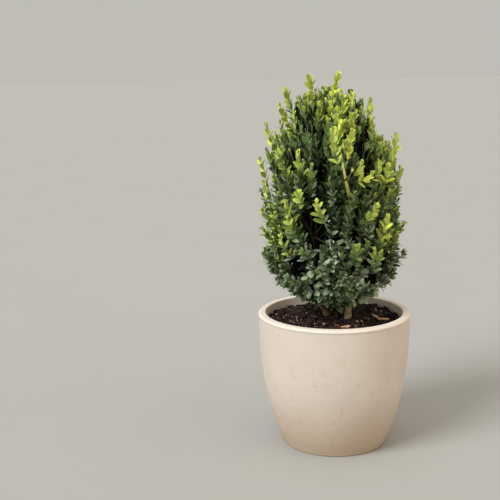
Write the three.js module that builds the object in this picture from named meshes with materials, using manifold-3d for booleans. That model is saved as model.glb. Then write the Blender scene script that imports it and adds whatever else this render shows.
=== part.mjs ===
// Boxwood shrub in a planter: an upright, loosely pyramidal young plant with three stems.
// Millimetres, +Z up. The origin is the centre of the planter's flat underside, and -Y is the front.
// Every solid is its own mesh, and stands 0.3 mm clear of what carries it.

import * as THREE from "three";
import { mergeVertices } from "three/addons/utils/BufferGeometryUtils.js";
import Module from "manifold-3d";

const wasm = await Module();
wasm.setup();

// Driving dimensions
const CLEAR = 0.3; // gap between two neighbouring solids

const PLANTER_HEIGHT = 355;
const RIM_RADIUS = 200;
const FOOT_RADIUS = 138;
const WALL = 20;
const FLOOR = 24;
const BULGE = 2.5; // exponent of the side's curve: larger is straighter below the rim
const LIP_HEIGHT = 15;
const LIP_STEP = 1.2; // how far the lip stands proud of the side
const LIP_ROUND = 8;
const EDGE_ROUND = 3;
const FOOT_ROUND = 6;
const PLANTER_SEGMENTS = 36;

const SOIL_HEIGHT = 330; // top of the filling at the wall
const SOIL_MOUND = 8; // rise of the flat middle, where the stems stand
const MOUND_RADIUS = 70;
const CHIP_COUNT = 16;

// Stems: foot on the soil, and the point where each ends below the crown's top
const STEM_SIDES = 8;
const STEM_STEPS = 10;
const STEMS = [
  { name: "stem_right", foot: [37, -17], top: [16, -40, 822], radius: 8.2 },
  { name: "stem_left", foot: [-21, 10], top: [-72, -6, 812], radius: 6.4 },
  { name: "stem_back", foot: [-4, 32], top: [66, 46, 790], radius: 5.2 },
];
const STEM_TIP_RADIUS = 2.6;
const FLARE = 0.35; // share by which a stem widens at the soil
const FLARE_HEIGHT = 14;

// Crown outline: height above the ground and half-width, both to the leaf tips
const CROWN = [
  [362, 52],
  [392, 92],
  [412, 120],
  [433, 150],
  [455, 168],
  [496, 184],
  [578, 187],
  [652, 180],
  [738, 174],
  [815, 162],
  [856, 138],
  [894, 112],
  [925, 70],
  [936, 20],
];

// Shoots that rise out of the crown, each given by the place of its tip
const LEADERS = [
  [11, -46, 984],
  [-64, -18, 977],
  [-121, -30, 946],
  [47, -30, 930],
  [96, 30, 916],
  [-34, 30, 928],
  [4, 70, 945],
  [-90, 64, 915],
  [60, 98, 905],
  [163, -28, 822],
  [-170, -20, 850],
];

// Foliage masses: rings of them round the axis, and one more on each stem's tip
const RINGS = [
  { name: "low", height: 436, count: 5, first: -90 },
  { name: "middle", height: 585, count: 5, first: -54 },
  { name: "high", height: 735, count: 4, first: -80 },
];
const RING_SHARE = 0.56; // distance of a mass from the axis, as a share of the crown's half-width
const TOP_RISE = 34; // a top mass's centre above its stem's tip
const RING_STAGGER = 15; // masses of one ring stand this much higher or lower than its height
const CORE_INSET = 66; // depth below the crown's outline at which the dense core of a mass begins
const CORE_LUMP = 7; // height of the core's lumps
const CORE_DETAIL = 1;
const SPACE_GAP = 0.4; // distance a mass keeps from the walls of its own space

// Boughs
const BOUGH_SIDES = 5;
const BOUGH_STEPS = 2;
const BOUGH_RADIUS = 4;
const BOUGH_TIP_RADIUS = 2.6;
const BOUGH_SHARE = 0.52; // length of a bough, as a share of the way from stem to mass
const BOUGH_DROP = 50; // how far below the mass's centre its bough leaves the stem
const BOUGH_STAGGER = 17; // extra drop from one bough of a ring to the next, so that none cross

// Twigs and leaves
const TWIG_COUNT = 72;
const TWIG_RADIUS = 1.7;
const TWIG_TIP_RADIUS = 1.1;
const TWIG_SIDES = 3;
const TWIG_STEPS = 2;
const WALL_MARGIN = 12; // distance that a twig's tip keeps from the walls of its mass's space
const LEAF_LENGTH = 52;
const LEAF_WIDTH = 27;
const LEAF_THICK = 2.4;
const LEAF_CUP = 3; // how far the leaf's edges turn down
const LEAF_PAIRS = [2, 18, 34]; // distances of the leaf pairs from the twig's tip
const LEAF_ANGLES = [28, 50, 66]; // angle of each pair to the twig, in degrees
const LEAF_START = 0.3; // distance of a leaf's root from the middle of its twig
const LEAF_SUNK = 5; // volume of a leaf that may lie inside its neighbours
const LEAF_REACH = 34; // how far the first leaves reach past the twig's tip
const LEADER_REACH = 44; // the same for a leader, whose first leaves stand straighter
const FOLIAGE_BOTTOM = 347; // no leaf hangs lower
const CROWN_PLAY = 12; // how far a leaf may stick out of the crown's outline
const LEADER_HEIGHT = 860; // leaves above this belong to the shoots that rise out of the crown

const GOLDEN_ANGLE = Math.PI * (3 - Math.sqrt(5));
const UP = new THREE.Vector3(0, 0, 1);
const radians = THREE.MathUtils.degToRad;

// A repeatable number from 0 to 1 for item k of series s
function chance(k, s) {
  const x = Math.sin(k * 12.9898 + s * 78.233) * 43758.5453;
  return x - Math.floor(x);
}

// Solids and meshes

// The geometry with its shared corners merged, and nothing but their positions
function mergedCorners(geometry) {
  const bare = new THREE.BufferGeometry();
  bare.setAttribute("position", geometry.getAttribute("position"));
  bare.setIndex(geometry.getIndex());
  return mergeVertices(bare, 1e-3);
}

function solidFrom(geometry) {
  const merged = mergedCorners(geometry);
  return new wasm.Manifold(
    new wasm.Mesh({
      numProp: 3,
      vertProperties: merged.getAttribute("position").array,
      triVerts: new Uint32Array(merged.getIndex().array),
    }),
  );
}

function geometryFrom(solid) {
  const { vertProperties, triVerts } = solid.getMesh();
  const indexed = new THREE.BufferGeometry();
  indexed.setAttribute("position", new THREE.BufferAttribute(vertProperties, 3));
  indexed.setIndex(new THREE.BufferAttribute(triVerts, 1));
  const flat = indexed.toNonIndexed();
  flat.computeVertexNormals();
  return flat;
}

// Whether each edge of a solid still joins exactly two faces once close corners are merged
function isSound(solid) {
  const corners = mergedCorners(geometryFrom(solid)).getIndex().array;
  const uses = new Map();
  for (let i = 0; i < corners.length; i += 3) {
    for (const [a, b] of [[0, 1], [1, 2], [2, 0]]) {
      const from = corners[i + a];
      const to = corners[i + b];
      if (from === to) return false;
      const edge = Math.min(from, to) * 1e6 + Math.max(from, to);
      uses.set(edge, (uses.get(edge) ?? 0) + 1);
    }
  }
  return [...uses.values()].every((n) => n === 2);
}

// The largest body of a solid: loose scraps and sealed hollows left by a boolean are dropped.
// It is read back from its own mesh once, because rounding can seal another hollow.
function largestBody(solid) {
  const largest = (whole) => whole.decompose().reduce((a, b) => (b.volume() > a.volume() ? b : a));
  return largest(solidFrom(geometryFrom(largest(solid))));
}

// A closed surface from rings of corners, with a fan at each end
function skin(rings, startPoint, endPoint) {
  const sides = rings[0].length;
  const corners = [startPoint, ...rings.flat(), endPoint];
  const last = corners.length - 1;
  const faces = [];
  for (let k = 0; k < sides; k++) {
    const next = (k + 1) % sides;
    faces.push(0, 1 + next, 1 + k);
    for (let r = 0; r < rings.length - 1; r++) {
      const a = 1 + r * sides;
      const b = a + sides;
      faces.push(a + k, a + next, b + next, a + k, b + next, b + k);
    }
    const top = 1 + (rings.length - 1) * sides;
    faces.push(last, top + k, top + next);
  }
  const geometry = new THREE.BufferGeometry().setFromPoints(corners);
  geometry.setIndex(faces);
  return solidFrom(geometry);
}

// A tapering limb along a curve; radiusAt takes the share of the length from 0 to 1
function limb(curve, radiusAt, sides, steps, extra = 0) {
  const { normals, binormals } = curve.computeFrenetFrames(steps);
  const centres = curve.getSpacedPoints(steps);
  const rings = centres.map((centre, i) => {
    const radius = radiusAt(i / steps) + extra;
    return Array.from({ length: sides }, (_, k) => {
      const turn = (2 * Math.PI * k) / sides;
      return centre
        .clone()
        .addScaledVector(normals[i], radius * Math.cos(turn))
        .addScaledVector(binormals[i], radius * Math.sin(turn));
    });
  });
  return skin(rings, centres[0], centres[steps]);
}

const toward = (from, to, share) => from.clone().lerp(to, share);

// Crown outline and the spaces of the masses

// Half-width of the crown at a height, by straight lines between the points of CROWN
function crownRadius(z) {
  const above = CROWN.findIndex(([height]) => height >= z);
  if (above <= 0) return above === 0 && z === CROWN[0][0] ? CROWN[0][1] : 0;
  const [lowHeight, lowRadius] = CROWN[above - 1];
  const [highHeight, highRadius] = CROWN[above];
  return THREE.MathUtils.mapLinear(z, lowHeight, highHeight, lowRadius, highRadius);
}

// Shallow lobes, so that the crown isn't a turned shape
const lobes = (azimuth, z) =>
  1 + 0.035 * Math.sin(3 * azimuth + z / 90) + 0.025 * Math.sin(5 * azimuth - z / 60);

function crownPoint(z, azimuth, inset) {
  const radius = crownRadius(z) * lobes(azimuth, z) - inset;
  return new THREE.Vector3(radius * Math.cos(azimuth), radius * Math.sin(azimuth), z);
}

// Heights that share out the crown's surface evenly among `count` tips
function evenHeights(count) {
  const steps = [];
  let area = 0;
  for (let z = CROWN[0][0] + 1; z < CROWN.at(-1)[0]; z++) {
    const slope = crownRadius(z + 1) - crownRadius(z);
    area += crownRadius(z) * Math.hypot(1, slope);
    steps.push([z, area]);
  }
  return Array.from({ length: count }, (_, k) => {
    const wanted = (area * (k + 0.5)) / count;
    return steps.find(([, sum]) => sum >= wanted)[0];
  });
}

const stems = STEMS.map((stem) => {
  const soilTop = SOIL_HEIGHT + SOIL_MOUND + CLEAR;
  const foot = new THREE.Vector3(...stem.foot, soilTop);
  const top = new THREE.Vector3(...stem.top);
  const third = (top.z - foot.z) / 3;
  const curve = new THREE.CubicBezierCurve3(
    foot,
    foot.clone().addScaledVector(UP, third),
    top.clone().addScaledVector(UP, -third),
    top,
  );
  const length = curve.getLength();
  const radiusAt = (t) => {
    const taper = THREE.MathUtils.lerp(stem.radius, STEM_TIP_RADIUS, t);
    return taper * (1 + FLARE * Math.exp((-t * length) / FLARE_HEIGHT));
  };
  return { ...stem, curve, radiusAt, top };
});

// Point of a stem's centreline at a height
function stemPoint(stem, z) {
  let low = 0;
  let high = 1;
  for (let i = 0; i < 24; i++) {
    const middle = (low + high) / 2;
    if (stem.curve.getPoint(middle).z < z) low = middle;
    else high = middle;
  }
  return stem.curve.getPoint(low);
}

const ringMasses = RINGS.flatMap((ring) =>
  Array.from({ length: ring.count }, (_, k) => {
    const azimuth = radians(ring.first + (360 * k) / ring.count);
    const height = ring.height + RING_STAGGER * Math.sin(2.4 * k + ring.height);
    const inset = (1 - RING_SHARE) * crownRadius(height);
    const centre = crownPoint(height, azimuth, inset);
    const drop = BOUGH_DROP + BOUGH_STAGGER * ((2 * k) % ring.count) * 0.6;
    return { name: `foliage_${ring.name}_${k + 1}`, bough: `bough_${ring.name}_${k + 1}`, centre, drop };
  }),
);
const topMasses = stems.map((stem) => ({
  name: stem.name.replace("stem", "foliage_top"),
  stem,
  centre: stem.top.clone().addScaledVector(UP, TOP_RISE),
}));
const masses = [...ringMasses, ...topMasses];

// The walls of a mass's space are the planes half-way to the other masses' centres
for (const mass of masses) {
  mass.walls = masses
    .filter((other) => other !== mass)
    .map((other) => {
      const normal = other.centre.clone().sub(mass.centre).normalize();
      const halfWay = toward(mass.centre, other.centre, 0.5);
      return new THREE.Plane().setFromNormalAndCoplanarPoint(normal, halfWay);
    });
  mass.holds = (point, gap = SPACE_GAP) => mass.walls.every((wall) => wall.distanceToPoint(point) < -gap);
}

const massOf = (point) =>
  masses.reduce((a, b) => (b.centre.distanceTo(point) < a.centre.distanceTo(point) ? b : a));

// Boughs and stems

// The stem nearest to a mass at the height where its bough begins
function bestStem({ centre, drop }) {
  const flat = (stem) => {
    const at = stemPoint(stem, Math.min(centre.z - drop, stem.top.z));
    return Math.hypot(at.x - centre.x, at.y - centre.y);
  };
  return stems.reduce((a, b) => (flat(b) < flat(a) ? b : a));
}

const boughRadius = (t) => THREE.MathUtils.lerp(BOUGH_RADIUS, BOUGH_TIP_RADIUS, t);

for (const mass of ringMasses) {
  const lowest = SOIL_HEIGHT + SOIL_MOUND + 2 * BOUGH_RADIUS;
  const start = stemPoint(bestStem(mass), Math.max(mass.centre.z - mass.drop, lowest));
  const end = toward(start, mass.centre, BOUGH_SHARE);
  const bend = toward(start, end, 0.6).addScaledVector(UP, -4);
  mass.boughCurve = new THREE.QuadraticBezierCurve3(start, bend, end);
  mass.root = end;
  mass.heading = mass.boughCurve.getTangent(1);
}
for (const mass of topMasses) {
  mass.root = mass.stem.top;
  mass.heading = UP;
}

const limbs = [
  ...stems.map((stem) => ({
    name: stem.name,
    grown: (extra) => limb(stem.curve, stem.radiusAt, STEM_SIDES, STEM_STEPS, extra),
  })),
  ...ringMasses.map((mass) => ({
    name: mass.bough,
    grown: (extra) => limb(mass.boughCurve, boughRadius, BOUGH_SIDES, BOUGH_STEPS, extra),
  })),
];
const fattened = limbs.map((one) => one.grown(CLEAR));
const limbSpace = fattened.reduce((a, b) => a.add(b));

// Stems stay whole, and each bough is cut clear of them
function limbSolids() {
  return limbs.map((one, i) => {
    const isBough = i >= stems.length;
    const cutters = isBough ? fattened.slice(0, stems.length) : [];
    return { name: one.name, solid: largestBody(cutters.reduce((a, b) => a.subtract(b), one.grown(0))) };
  });
}

const clearOfLimbs = (solid) => solid.intersect(limbSpace).isEmpty();

// Foliage

// Distance from a point inside the crown to its outline, along a direction
function outlineDistance(from, direction) {
  const step = 2;
  const point = from.clone();
  let distance = 0;
  while (Math.hypot(point.x, point.y) < crownRadius(point.z)) {
    point.addScaledVector(direction, step);
    distance += step;
  }
  return distance;
}

// A core is a lumpy ball that fills its space up to the walls, and stops short of the crown's outline
function core(mass) {
  const ball = new THREE.IcosahedronGeometry(1, CORE_DETAIL);
  const at = ball.getAttribute("position");
  for (let i = 0; i < at.count; i++) {
    const direction = new THREE.Vector3().fromBufferAttribute(at, i).normalize();
    const ray = new THREE.Ray(mass.centre, direction);
    const wall = Math.min(...mass.walls.map((plane) => ray.distanceToPlane(plane) ?? Infinity));
    const lump = CORE_LUMP * Math.sin(7 * direction.x + 9 * direction.y + 8 * direction.z);
    const inside = outlineDistance(mass.centre, direction) - CORE_INSET + lump;
    const reach = Math.max(12, Math.min(inside, 0.98 * wall - 1));
    const corner = mass.centre.clone().addScaledVector(direction, reach);
    at.setXYZ(i, corner.x, corner.y, corner.z);
  }
  return largestBody(fattened.reduce((a, b) => a.subtract(b), solidFrom(ball)));
}

// A leaf of eight faces: root, tip, two edges and the two faces' middles
function leafCorners(root, direction, face) {
  const side = new THREE.Vector3().crossVectors(face, direction).normalize();
  const place = (along, across, up) =>
    root
      .clone()
      .addScaledVector(direction, along)
      .addScaledVector(side, across)
      .addScaledVector(face, up);
  const widest = LEAF_LENGTH * 0.52;
  return [
    place(0, 0, 0),
    place(LEAF_LENGTH, 0, -LEAF_CUP),
    place(widest, LEAF_WIDTH / 2, -LEAF_CUP),
    place(widest, -LEAF_WIDTH / 2, -LEAF_CUP),
    place(widest, 0, LEAF_THICK / 2),
    place(widest, 0, -LEAF_THICK / 2),
  ];
}

function leafSolid(corners) {
  const geometry = new THREE.BufferGeometry().setFromPoints(corners);
  const [root, tip, left, right, top, under] = corners.keys();
  const upper = [root, right, top, right, tip, top, tip, left, top, left, root, top];
  const lower = [right, root, under, tip, right, under, left, tip, under, root, left, under];
  geometry.setIndex([...upper, ...lower]);
  return solidFrom(geometry);
}

// A twig leaves the mass near its centre, heads outwards, and turns up towards its tip
function twigCurve(mass, tip, k) {
  const start = toward(mass.root, mass.centre, 0.6 + 0.5 * chance(k, 1));
  const out = Math.hypot(tip.x - start.x, tip.y - start.y);
  const bend = toward(start, tip, 0.62);
  bend.z = THREE.MathUtils.lerp(start.z, tip.z, 0.4) - 0.12 * out;
  return new THREE.QuadraticBezierCurve3(start, bend, tip);
}

// The tip is drawn back from the walls of the mass's space, so that its leaves fit beside it
function drawnBack(mass, tip) {
  const point = tip.clone();
  for (const wall of mass.walls) {
    const over = wall.distanceToPoint(point) + WALL_MARGIN;
    if (over > 0) point.addScaledVector(wall.normal, -over);
  }
  return point;
}

// Leaves may stick out of the crown's outline a little, and leaders rise free of it
function inCrown(point) {
  const reach = crownRadius(Math.max(point.z, CROWN[0][0])) + CROWN_PLAY;
  return point.z > LEADER_HEIGHT || Math.hypot(point.x, point.y) < reach;
}

// Adds a leaf on one side of the twig, turned about the twig until it stands free of what has grown
// so far; a leaf that finds no room is left out
function withLeaf(mass, grown, root, along, roll, angle) {
  const firstSide = new THREE.Vector3().crossVectors(along, UP).normalize();
  for (const turn of [0, 25, -25, 50, -50, 75, -75]) {
    const side = firstSide.clone().applyAxisAngle(along, roll + radians(turn));
    const direction = along.clone().multiplyScalar(Math.cos(angle)).addScaledVector(side, Math.sin(angle));
    const face = along.clone().addScaledVector(direction, -along.dot(direction)).normalize();
    const corners = leafCorners(root.clone().addScaledVector(direction, LEAF_START), direction, face);
    if (!corners.every((p) => mass.holds(p) && p.z > FOLIAGE_BOTTOM && inCrown(p))) continue;
    const leaf = leafSolid(corners);
    if (!clearOfLimbs(leaf) || leaf.intersect(grown).volume() > LEAF_SUNK) continue;
    const joined = grown.add(leaf);
    if (isSound(joined)) return joined;
  }
  return grown;
}

const twigRadius = (t) => THREE.MathUtils.lerp(TWIG_RADIUS, TWIG_TIP_RADIUS, t);

// Pairs of leaves stand opposite each other, each pair turned a quarter from the one before
function withTwig(mass, grown, curve, k) {
  const twig = limb(curve, twigRadius, TWIG_SIDES, TWIG_STEPS);
  const inside = curve.getSpacedPoints(12).every((p) => mass.holds(p, TWIG_RADIUS + SPACE_GAP));
  let solid = grown.add(twig);
  if (!inside || !clearOfLimbs(twig) || !isSound(solid)) return grown;
  const length = curve.getLength();
  LEAF_PAIRS.forEach((distance, pair) => {
    const u = 1 - distance / length;
    if (u < 0.15) return;
    for (const half of [0, 1]) {
      const roll = radians(180 * half + 90 * pair + 30 * chance(k, 2 + pair));
      const angle = radians(LEAF_ANGLES[pair] + 10 * (chance(k, 5 + pair + 3 * half) - 0.5));
      solid = withLeaf(mass, solid, curve.getPointAt(u), curve.getTangentAt(u), roll, angle);
    }
  });
  return solid;
}

const spreadTips = evenHeights(TWIG_COUNT).map((z, k) => {
  const inset = LEAF_REACH * (0.75 + 0.4 * chance(k, 9));
  return crownPoint(z, k * GOLDEN_ANGLE, inset);
});
const leaderTips = LEADERS.map(([x, y, z]) => new THREE.Vector3(x, y, z - LEADER_REACH));

function foliageSolid(mass) {
  const foot = mass.root.clone().addScaledVector(mass.heading, CLEAR);
  const bend = foot.clone().addScaledVector(mass.heading, 0.5 * foot.distanceTo(mass.centre));
  const stemLine = new THREE.QuadraticBezierCurve3(foot, bend, mass.centre);
  const stem = limb(stemLine, () => BOUGH_TIP_RADIUS, BOUGH_SIDES, 2);
  let grown = core(mass).add(stem);
  for (const { tip, k } of mass.tips) grown = withTwig(mass, grown, twigCurve(mass, tip, k), k);
  return largestBody(grown);
}

for (const mass of masses) mass.tips = [];
[...leaderTips, ...spreadTips].forEach((point, k) => {
  const mass = massOf(point);
  const isLeader = k < leaderTips.length;
  mass.tips.push({ tip: isLeader ? point : drawnBack(mass, point), k });
});

// Planter and soil

// Radius of the planter's side at a height, without the lip
const sideRadius = (z) =>
  RIM_RADIUS - LIP_STEP - (RIM_RADIUS - FOOT_RADIUS) * (1 - z / PLANTER_HEIGHT) ** BULGE;
const insideRadius = (z) => sideRadius(z) - WALL + LIP_STEP;

// Points of a quarter circle round (r, z) from one angle to another, in degrees
function arc(r, z, radius, from, to, steps) {
  return Array.from({ length: steps + 1 }, (_, i) => {
    const angle = radians(THREE.MathUtils.lerp(from, to, i / steps));
    return new THREE.Vector2(r + radius * Math.cos(angle), z + radius * Math.sin(angle));
  });
}

const heights = (from, to, steps) =>
  Array.from({ length: steps + 1 }, (_, i) => THREE.MathUtils.lerp(from, to, i / steps));

// A profile turned about the planter's axis
function turned(points) {
  const lathe = new THREE.LatheGeometry(points, PLANTER_SEGMENTS);
  lathe.rotateX(Math.PI / 2);
  return solidFrom(lathe);
}

function planterSolid() {
  const lipFoot = PLANTER_HEIGHT - LIP_HEIGHT;
  const footCorner = sideRadius(FOOT_ROUND) - FOOT_ROUND;
  return turned([
    new THREE.Vector2(0, 0),
    ...arc(footCorner, FOOT_ROUND, FOOT_ROUND, -90, -10, 2),
    ...heights(22, lipFoot - 4, 6).map((z) => new THREE.Vector2(sideRadius(z), z)),
    new THREE.Vector2(RIM_RADIUS, lipFoot),
    ...arc(RIM_RADIUS - LIP_ROUND, PLANTER_HEIGHT - LIP_ROUND, LIP_ROUND, 0, 90, 4),
    ...arc(RIM_RADIUS - WALL + EDGE_ROUND, PLANTER_HEIGHT - EDGE_ROUND, EDGE_ROUND, 90, 180, 2),
    ...heights(SOIL_HEIGHT, FLOOR, 4).map((z) => new THREE.Vector2(insideRadius(z), z)),
    new THREE.Vector2(0, FLOOR),
  ]);
}

// Bark chips lie half sunk in the soil, away from the stems
function chips() {
  const box = new THREE.BoxGeometry(1, 1, 1);
  return Array.from({ length: CHIP_COUNT }, (_, k) => {
    const radius = 88 + 82 * Math.sqrt(chance(k, 21));
    const azimuth = k * GOLDEN_ANGLE;
    const tilt = [0.3 * (chance(k, 22) - 0.5), 0.3 * (chance(k, 23) - 0.5)];
    const turn = new THREE.Quaternion().setFromEuler(new THREE.Euler(...tilt, Math.PI * chance(k, 24)));
    const size = new THREE.Vector3(16 + 18 * chance(k, 25), 6 + 5 * chance(k, 26), 5);
    const [x, y] = [radius * Math.cos(azimuth), radius * Math.sin(azimuth)];
    const place = new THREE.Vector3(x, y, soilTop(radius));
    return solidFrom(box.clone().applyMatrix4(new THREE.Matrix4().compose(place, turn, size)));
  });
}

function soilTop(radius) {
  const fall = THREE.MathUtils.smoothstep(radius, MOUND_RADIUS, insideRadius(SOIL_HEIGHT));
  return SOIL_HEIGHT + SOIL_MOUND * (1 - fall);
}

function soilSolid() {
  const edge = insideRadius(SOIL_HEIGHT) - CLEAR;
  const bed = turned([
    new THREE.Vector2(0, FLOOR + CLEAR),
    ...heights(FLOOR + CLEAR, SOIL_HEIGHT, 4).map((z) => new THREE.Vector2(insideRadius(z) - 2 * CLEAR, z)),
    ...heights(edge - 25, MOUND_RADIUS, 3).map((r) => new THREE.Vector2(r, soilTop(r))),
    new THREE.Vector2(0, SOIL_HEIGHT + SOIL_MOUND),
  ]);
  return largestBody(chips().reduce((a, b) => a.add(b), bed));
}

// Assembly

const finishes = {
  planter: new THREE.MeshStandardMaterial({ color: 0xd9ccbc, roughness: 0.75 }),
  soil: new THREE.MeshStandardMaterial({ color: 0x35241e, roughness: 0.95 }),
  bark: new THREE.MeshStandardMaterial({ color: 0x7d6750, roughness: 0.85 }),
  foliage: new THREE.MeshStandardMaterial({ color: 0x53682f, roughness: 0.55 }),
};

function mesh(name, solid, finish) {
  const made = new THREE.Mesh(geometryFrom(solid), finishes[finish]);
  made.name = name;
  return made;
}

const plant = new THREE.Group();
plant.add(mesh("planter", planterSolid(), "planter"));
plant.add(mesh("potting_soil", soilSolid(), "soil"));
for (const { name, solid } of limbSolids()) plant.add(mesh(name, solid, "bark"));
for (const mass of masses) plant.add(mesh(mass.name, foliageSolid(mass), "foliage"));

export default plant;
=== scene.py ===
"""A young boxwood in a round planter, dressed over its solids: planter, potting mix, stems, shoots and leaves."""

import math

import bpy
import numpy as np
from bpy.props import FloatProperty, FloatVectorProperty, IntProperty, PointerProperty
from mathutils import Matrix, Vector


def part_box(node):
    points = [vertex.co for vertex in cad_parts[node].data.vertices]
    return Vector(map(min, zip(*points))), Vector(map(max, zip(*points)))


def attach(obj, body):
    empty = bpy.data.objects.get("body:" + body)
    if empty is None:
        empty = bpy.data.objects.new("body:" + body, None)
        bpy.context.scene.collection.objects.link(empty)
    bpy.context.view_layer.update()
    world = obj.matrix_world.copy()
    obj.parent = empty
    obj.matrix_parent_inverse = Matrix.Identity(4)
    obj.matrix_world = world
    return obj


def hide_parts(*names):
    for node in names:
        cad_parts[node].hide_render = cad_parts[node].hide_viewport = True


bl_info = {
    "name": "Potted boxwood",
    "version": (1, 0, 0),
    "blender": (4, 5, 0),
    "location": "3D View > Sidebar > Boxwood",
    "description": "Builds a young potted boxwood from its stems, shoots and leaves",
    "category": "Object",
}

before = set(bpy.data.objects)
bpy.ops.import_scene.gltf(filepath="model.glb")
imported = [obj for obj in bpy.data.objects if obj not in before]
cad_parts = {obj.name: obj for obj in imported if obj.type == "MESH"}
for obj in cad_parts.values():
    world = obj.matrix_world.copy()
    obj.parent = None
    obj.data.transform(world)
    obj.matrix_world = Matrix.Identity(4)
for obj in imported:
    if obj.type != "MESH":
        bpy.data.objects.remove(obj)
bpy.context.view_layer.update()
PLANTER_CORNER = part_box("planter")[1]

PHOTO_SIDE = 500  # pixels
PHOTO_FOCAL = 950  # pixels
CAMERA_PLACE = (0, -2.450, 0.998)
CAMERA_PITCH, CAMERA_YAW, CAMERA_ROLL = 11.05, -5.14, -1.0  # degrees
GOLDEN_ANGLE = math.pi * (3 - math.sqrt(5))
UP = np.array([0.0, 0.0, 1.0])
PIECE_LIMIT = 190000  # triangles
INNER_KEYS, LEADER_KEYS, CHIP_KEYS = 5000, 7000, 9000  # first item numbers, apart so that their random draws differ

# Planter and potting mix, in metres
LIP_STEP = 0.0012  # the lip stands this far proud of the side
FLOOR_THICKNESS = 0.024
SOIL_DEPTH = 0.03
MOUND_TOP = 0.07  # radius of the level middle of the mix
CHIPS = 26
PROUD_CHIPS = 2  # the first chips, which lie on top of the mix

# Crown outline: height above the ground and half-width to the leaf tips, in millimetres made metres
CROWN = np.array([
    (362, 52), (392, 92), (412, 120), (433, 150), (455, 168), (496, 184), (578, 183),
    (652, 172), (738, 164), (815, 153), (856, 132), (894, 102), (925, 70), (936, 20),
]) / 1000

# Stems: foot, top and foot radius, in metres
STEMS = {
    "stem_right": ((0.037, -0.017, 0.338), (0.016, -0.040, 0.822), 0.0082),
    "stem_left": ((-0.021, 0.010, 0.338), (-0.072, -0.006, 0.812), 0.0064),
    "stem_back": ((-0.004, 0.032, 0.338), (0.066, 0.046, 0.790), 0.0052),
}
STEM_TIP_RADIUS = 0.0026
STEM_FLARE, FLARE_HEIGHT = 0.35, 0.014  # how much wider a stem's foot is, and over what height that fades
STEM_SINK = 0.004  # metres that a stem's lower end reaches into the mix
# Controls of the golden young stem that feeds the brightest shoots, in millimetres made metres
GOLDEN_STEM = np.array([[(44, -50, 636), (40, -218, 686), (10, -216, 776), (2, 20, 918)]]) / 1000

# Rings of foliage masses: name, height, how many, and the azimuth of the first in degrees
RINGS = (("low", 0.436, 5, -90), ("middle", 0.585, 5, -54), ("high", 0.735, 4, -80))
MASS_SWAY = 0.015  # metres that the centres rise and fall round a ring
MASS_INSET = 0.44  # share of the crown's half-width from a centre to the outline
BOUGH_DROP, BOUGH_STEP = 0.050, 0.0102  # metres below its mass at which a bough leaves its stem, and what varies it
LOWEST_FORK = 0.346
BOUGH_SHARE = 0.52  # how far a bough reaches towards its mass's centre
BOUGH_SAG = 0.004  # metres that its bend hangs under a straight line
TOP_RISE = 0.034  # metres from a stem's tip up to the centre of its mass
FORK_GAP = 0.03  # metres of bare shoot below the leaves

# Limb radii in metres: at the start, and what is lost by the end
BOUGH_RADIUS, BOUGH_TAPER = 0.0040, 0.0014
MASS_STEM_RADIUS, TWIG_RADIUS, TWIG_TAPER = 0.0027, 0.0019, 0.0009
GOLDEN_RADIUS, GOLDEN_TAPER = 0.0045, 0.0032
SHOOT_RADIUS, SHOOT_TAPER = 0.0012, 0.0006

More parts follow.
